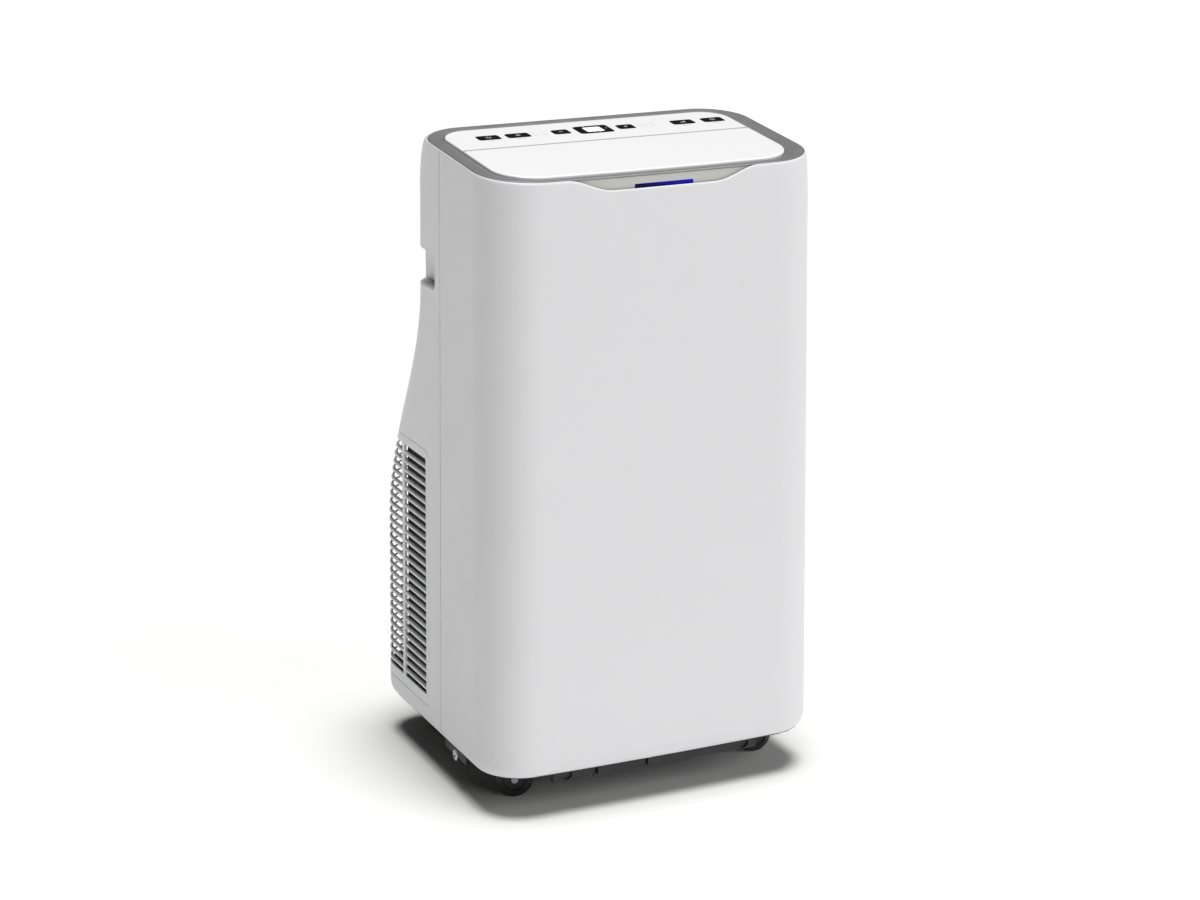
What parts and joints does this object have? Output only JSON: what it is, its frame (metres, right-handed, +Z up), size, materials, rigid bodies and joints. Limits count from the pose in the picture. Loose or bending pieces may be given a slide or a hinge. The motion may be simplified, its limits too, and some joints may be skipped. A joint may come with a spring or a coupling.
{
  "type": "portable air conditioner",
  "caption": "Floor-standing portable air conditioner on swivel casters, with a tilted key deck, a lifting outlet flap, side intake grilles and a rear exhaust collar.",
  "frame": {"origin": "floor level under the middle of the body", "axes": "+Z up, front face towards -Y, +X to the right of a person who faces the front"},
  "size_m": [0.3916, 0.342, 0.7037],
  "materials": {
    "white_abs": "fine satin moulding",
    "white_gloss": "polished",
    "silver_trim": "silver paint, satin",
    "greige_trim": "satin",
    "black_gloss": "gloss",
    "display_white": "gloss",
    "receiver_blue": "lit, gloss",
    "board": "solder mask",
    "grey_plastic": "satin",
    "black_plastic": "satin",
    "caster_black": "satin",
    "rubber": "matte",
    "filter_mesh": "woven mesh",
    "steel": "zinc plated",
    "painted_steel": "black paint",
    "aluminium_fins": "thin fins"
  },
  "bodies": {
    "root": {"front_shell": "white_abs", "rear_shell": "white_abs", "side_grille_left": "white_abs", "side_grille_right": "white_abs", "exhaust_collar": "white_abs", "control_panel": "white_gloss", "top_trim_ring": "silver_trim", "receiver_trim": "greige_trim", "display_bezel": "black_gloss", "display_window": "display_white", "receiver_window": "receiver_blue", "control_board": "board", "outlet_duct": "grey_plastic", "blower_scroll": "grey_plastic", "condenser_scroll": "grey_plastic", "drip_tray": "grey_plastic", "base_pan": "black_plastic", "cord_gland": "rubber", "flap_motor": "steel", "blower_motor": "steel", "condenser_motor": "steel", "electric_box": "steel", "compressor": "painted_steel", "evaporator_coil": "aluminium_fins", "condenser_coil": "aluminium_fins"},
    "louver_flap": {"louver_flap": "white_gloss"},
    "power_button": {"power_button": "black_gloss"},
    "mode_button": {"mode_button": "black_gloss"},
    "minus_button": {"minus_button": "black_gloss"},
    "plus_button": {"plus_button": "black_gloss"},
    "speed_button": {"speed_button": "black_gloss"},
    "timer_button": {"timer_button": "black_gloss"},
    "swing_vane_1": {"swing_vane_1": "grey_plastic"},
    "swing_vane_2": {"swing_vane_2": "grey_plastic"},
    "swing_vane_3": {"swing_vane_3": "grey_plastic"},
    "swing_vane_4": {"swing_vane_4": "grey_plastic"},
    "swing_vane_5": {"swing_vane_5": "grey_plastic"},
    "vane_link_bar": {"vane_link_bar": "black_plastic"},
    "intake_grille": {"intake_grille": "white_abs", "air_filter": "filter_mesh"},
    "blower_wheel": {"blower_wheel": "black_plastic"},
    "condenser_fan": {"condenser_fan": "black_plastic"},
    "upper_drain_plug": {"upper_drain_plug": "rubber"},
    "lower_drain_plug": {"lower_drain_plug": "rubber"},
    "caster_front_left": {"caster_hood_front_left": "caster_black", "caster_axle_front_left": "steel"},
    "wheel_front_left_a": {"caster_wheel_front_left_a": "caster_black"},
    "wheel_front_left_b": {"caster_wheel_front_left_b": "caster_black"},
    "caster_front_right": {"caster_hood_front_right": "caster_black", "caster_axle_front_right": "steel"},
    "wheel_front_right_a": {"caster_wheel_front_right_a": "caster_black"},
    "wheel_front_right_b": {"caster_wheel_front_right_b": "caster_black"},
    "caster_rear_left": {"caster_hood_rear_left": "caster_black", "caster_axle_rear_left": "steel"},
    "wheel_rear_left_a": {"caster_wheel_rear_left_a": "caster_black"},
    "wheel_rear_left_b": {"caster_wheel_rear_left_b": "caster_black"},
    "caster_rear_right": {"caster_hood_rear_right": "caster_black", "caster_axle_rear_right": "steel"},
    "wheel_rear_right_a": {"caster_wheel_rear_right_a": "caster_black"},
    "wheel_rear_right_b": {"caster_wheel_rear_right_b": "caster_black"}
  },
  "joints": [
    {"name": "flap_hinge", "type": "hinge", "parent": "root", "child": "louver_flap", "pos_m": [0, -0.04235, 0.68977], "axis": [-1, 0, 0], "range_deg": [0, 70]},
    {"name": "power_button_press", "type": "slide", "parent": "root", "child": "power_button", "axis": [0, 0.0873, -0.9962], "range_m": [0, 0.001], "stiffness_N_per_m": 400, "springref_m": -0.001},
    {"name": "mode_button_press", "type": "slide", "parent": "root", "child": "mode_button", "axis": [0, 0.0873, -0.9962], "range_m": [0, 0.001], "stiffness_N_per_m": 400, "springref_m": -0.001},
    {"name": "minus_button_press", "type": "slide", "parent": "root", "child": "minus_button", "axis": [0, 0.0873, -0.9962], "range_m": [0, 0.001], "stiffness_N_per_m": 400, "springref_m": -0.001},
    {"name": "plus_button_press", "type": "slide", "parent": "root", "child": "plus_button", "axis": [0, 0.0873, -0.9962], "range_m": [0, 0.001], "stiffness_N_per_m": 400, "springref_m": -0.001},
    {"name": "speed_button_press", "type": "slide", "parent": "root", "child": "speed_button", "axis": [0, 0.0873, -0.9962], "range_m": [0, 0.001], "stiffness_N_per_m": 400, "springref_m": -0.001},
    {"name": "timer_button_press", "type": "slide", "parent": "root", "child": "timer_button", "axis": [0, 0.0873, -0.9962], "range_m": [0, 0.001], "stiffness_N_per_m": 400, "springref_m": -0.001},
    {"name": "swing_vane_1_swing", "type": "hinge", "parent": "root", "child": "swing_vane_1", "pos_m": [-0.108, -0.09586, 0.64743], "axis": [0, 0.9962, 0.0873], "range_deg": [-30, 30]},
    {"name": "swing_vane_2_swing", "type": "hinge", "parent": "root", "child": "swing_vane_2", "pos_m": [-0.054, -0.09586, 0.64743], "axis": [0, 0.9962, 0.0873], "range_deg": [-30, 30]},
    {"name": "swing_vane_3_swing", "type": "hinge", "parent": "root", "child": "swing_vane_3", "pos_m": [0, -0.09586, 0.64743], "axis": [0, 0.9962, 0.0873], "range_deg": [-30, 30]},
    {"name": "swing_vane_4_swing", "type": "hinge", "parent": "root", "child": "swing_vane_4", "pos_m": [0.054, -0.09586, 0.64743], "axis": [0, 0.9962, 0.0873], "range_deg": [-30, 30]},
    {"name": "swing_vane_5_swing", "type": "hinge", "parent": "root", "child": "swing_vane_5", "pos_m": [0.108, -0.09586, 0.64743], "axis": [0, 0.9962, 0.0873], "range_deg": [-30, 30]},
    {"name": "link_slide", "type": "slide", "parent": "root", "child": "vane_link_bar", "axis": [1, 0, 0], "range_m": [-0.007, 0.007]},
    {"name": "intake_grille_hinge", "type": "hinge", "parent": "root", "child": "intake_grille", "pos_m": [0, 0.0913, 0.4532], "axis": [-1, 0, 0], "range_deg": [0, 40]},
    {"name": "blower_spin", "type": "hinge", "parent": "root", "child": "blower_wheel", "pos_m": [0, -0.09, 0.517], "axis": [0, 1, 0], "continuous": true},
    {"name": "condenser_fan_spin", "type": "hinge", "parent": "root", "child": "condenser_fan", "pos_m": [0.06, 0.057, 0.172], "axis": [0, 1, 0], "continuous": true},
    {"name": "upper_drain_plug_pull", "type": "slide", "parent": "root", "child": "upper_drain_plug", "axis": [0, 1, 0], "range_m": [0, 0.012]},
    {"name": "lower_drain_plug_pull", "type": "slide", "parent": "root", "child": "lower_drain_plug", "axis": [0, 1, 0], "range_m": [0, 0.012]},
    {"name": "caster_front_left_swivel", "type": "hinge", "parent": "root", "child": "caster_front_left", "pos_m": [-0.146, -0.087, 0.045], "axis": [0, 0, 1], "continuous": true},
    {"name": "wheel_front_left_a_roll", "type": "hinge", "parent": "caster_front_left", "child": "wheel_front_left_a", "pos_m": [-0.13839, -0.08947, 0.02], "axis": [0.309, 0.9511, 0], "continuous": true},
    {"name": "wheel_front_left_b_roll", "type": "hinge", "parent": "caster_front_left", "child": "wheel_front_left_b", "pos_m": [-0.13839, -0.08947, 0.02], "axis": [0.309, 0.9511, 0], "continuous": true},
    {"name": "caster_front_right_swivel", "type": "hinge", "parent": "root", "child": "caster_front_right", "pos_m": [0.146, -0.087, 0.045], "axis": [0, 0, 1], "continuous": true},
    {"name": "wheel_front_right_a_roll", "type": "hinge", "parent": "caster_front_right", "child": "wheel_front_right_a", "pos_m": [0.15376, -0.08507, 0.02], "axis": [-0.2419, 0.9703, 0], "continuous": true},
    {"name": "wheel_front_right_b_roll", "type": "hinge", "parent": "caster_front_right", "child": "wheel_front_right_b", "pos_m": [0.15376, -0.08507, 0.02], "axis": [-0.2419, 0.9703, 0], "continuous": true},
    {"name": "caster_rear_left_swivel", "type": "hinge", "parent": "root", "child": "caster_rear_left", "pos_m": [-0.146, 0.118, 0.045], "axis": [0, 0, 1], "continuous": true},
    {"name": "wheel_rear_left_a_roll", "type": "hinge", "parent": "caster_rear_left", "child": "wheel_rear_left_a", "pos_m": [-0.13869, 0.12125, 0.02], "axis": [-0.4067, 0.9135, 0], "continuous": true},
    {"name": "wheel_rear_left_b_roll", "type": "hinge", "parent": "caster_rear_left", "child": "wheel_rear_left_b", "pos_m": [-0.13869, 0.12125, 0.02], "axis": [-0.4067, 0.9135, 0], "continuous": true},
    {"name": "caster_rear_right_swivel", "type": "hinge", "parent": "root", "child": "caster_rear_right", "pos_m": [0.146, 0.118, 0.045], "axis": [0, 0, 1], "continuous": true},
    {"name": "wheel_rear_right_a_roll", "type": "hinge", "parent": "caster_rear_right", "child": "wheel_rear_right_a", "pos_m": [0.15293, 0.114, 0.02], "axis": [0.5, 0.866, 0], "continuous": true},
    {"name": "wheel_rear_right_b_roll", "type": "hinge", "parent": "caster_rear_right", "child": "wheel_rear_right_b", "pos_m": [0.15293, 0.114, 0.02], "axis": [0.5, 0.866, 0], "continuous": true}
  ],
  "couplings": [
    {"joint": "swing_vane_2_swing", "follows": "swing_vane_1_swing", "ratio": 1},
    {"joint": "swing_vane_3_swing", "follows": "swing_vane_1_swing", "ratio": 1},
    {"joint": "swing_vane_4_swing", "follows": "swing_vane_1_swing", "ratio": 1},
    {"joint": "swing_vane_5_swing", "follows": "swing_vane_1_swing", "ratio": 1},
    {"joint": "link_slide", "follows": "swing_vane_1_swing", "m_per_rad": -0.013}
  ]
}
